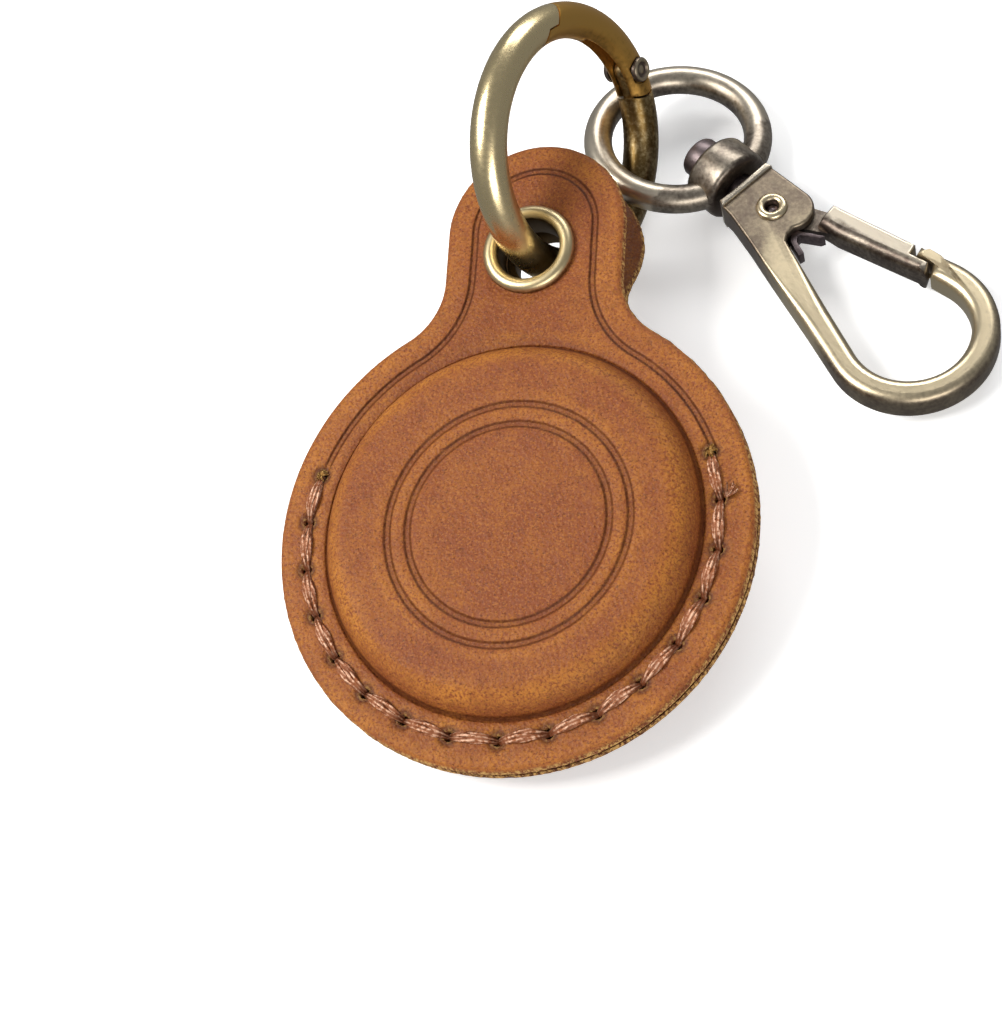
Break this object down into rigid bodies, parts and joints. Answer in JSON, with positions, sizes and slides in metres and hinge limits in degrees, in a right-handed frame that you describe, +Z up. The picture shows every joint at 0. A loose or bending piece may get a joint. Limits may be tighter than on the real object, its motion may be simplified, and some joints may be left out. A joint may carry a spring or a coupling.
{
  "type": "leather tag fob keychain",
  "caption": "Round stitched leather tag fob with a domed pocket, hung by eyelets from a sprung gate ring that carries a swivel snap hook.",
  "frame": {"origin": "under the middle of the whole object's bounding box, on the surface it lies on", "axes": "+Z up from the surface it lies on, +Y from the round fob towards the ring and hook, +X to the hook's side"},
  "size_m": [0.0654, 0.0766, 0.0259],
  "materials": {
    "leather_front": "embossed, waxed, fine grain",
    "leather_back": "waxed, fine grain, cut edges raw",
    "waxed_thread": "twisted, waxed",
    "antique_brass": "antique plated, satin",
    "antique_bronze": "antique plated, satin",
    "dark_steel": "blackened",
    "tag_plastic": "matt moulded",
    "cell_steel": "bright"
  },
  "bodies": {
    "fob": {"front_panel": "leather_front", "back_panel": "leather_back", "front_eyelet": "antique_brass", "front_eyelet_washer": "antique_brass", "back_eyelet": "antique_brass", "back_eyelet_washer": "antique_brass", "front_thread": "waxed_thread", "back_thread": "waxed_thread", "tag_base": "tag_plastic", "tag_cover": "tag_plastic", "coin_cell": "cell_steel"},
    "ring": {"ring_body": "antique_brass", "ring_gate_pin": "dark_steel", "ring_gate_spring": "dark_steel"},
    "ring_gate": {"ring_gate": "antique_brass"},
    "loop": {"swivel_loop": "antique_bronze"},
    "hook": {"swivel_stud": "dark_steel", "hook_body": "antique_bronze", "hook_gate_rivet": "antique_bronze", "hook_gate_spring": "dark_steel"},
    "hook_gate": {"hook_gate": "antique_bronze"}
  },
  "joints": [
    {"name": "ring_turn", "type": "hinge", "parent": "fob", "child": "ring", "pos_m": [-0.00739, 0.02313, 0.01295], "axis": [0.9156, -0.2939, 0.2746], "range_deg": [0, 60]},
    {"name": "ring_gate_hinge", "type": "hinge", "parent": "ring", "child": "ring_gate", "pos_m": [-0.00315, 0.03366, 0.01008], "axis": [0.9156, -0.2939, 0.2746], "range_deg": [0, 30], "stiffness_Nm_per_rad": 0.004, "springref_deg": -22.92, "deforming": ["ring_gate_spring"]},
    {"name": "loop_swing", "type": "hinge", "parent": "ring", "child": "loop", "pos_m": [-0.0027, 0.0316, 0.00637], "axis": [-0.0335, 0.6245, 0.7803], "range_deg": [0, 60]},
    {"name": "hook_swivel", "type": "hinge", "parent": "loop", "child": "hook", "pos_m": [0.00104, 0.02907, 0.00433], "axis": [0.7189, -0.6924, -0.061], "continuous": true},
    {"name": "hook_gate_hinge", "type": "hinge", "parent": "hook", "child": "hook_gate", "pos_m": [0.01099, 0.01948, 0.00348], "axis": [-0.0974, -0.0134, -0.9952], "range_deg": [0, 28], "stiffness_Nm_per_rad": 0.004, "springref_deg": -22.92, "deforming": ["hook_gate_spring"]}
  ]
}
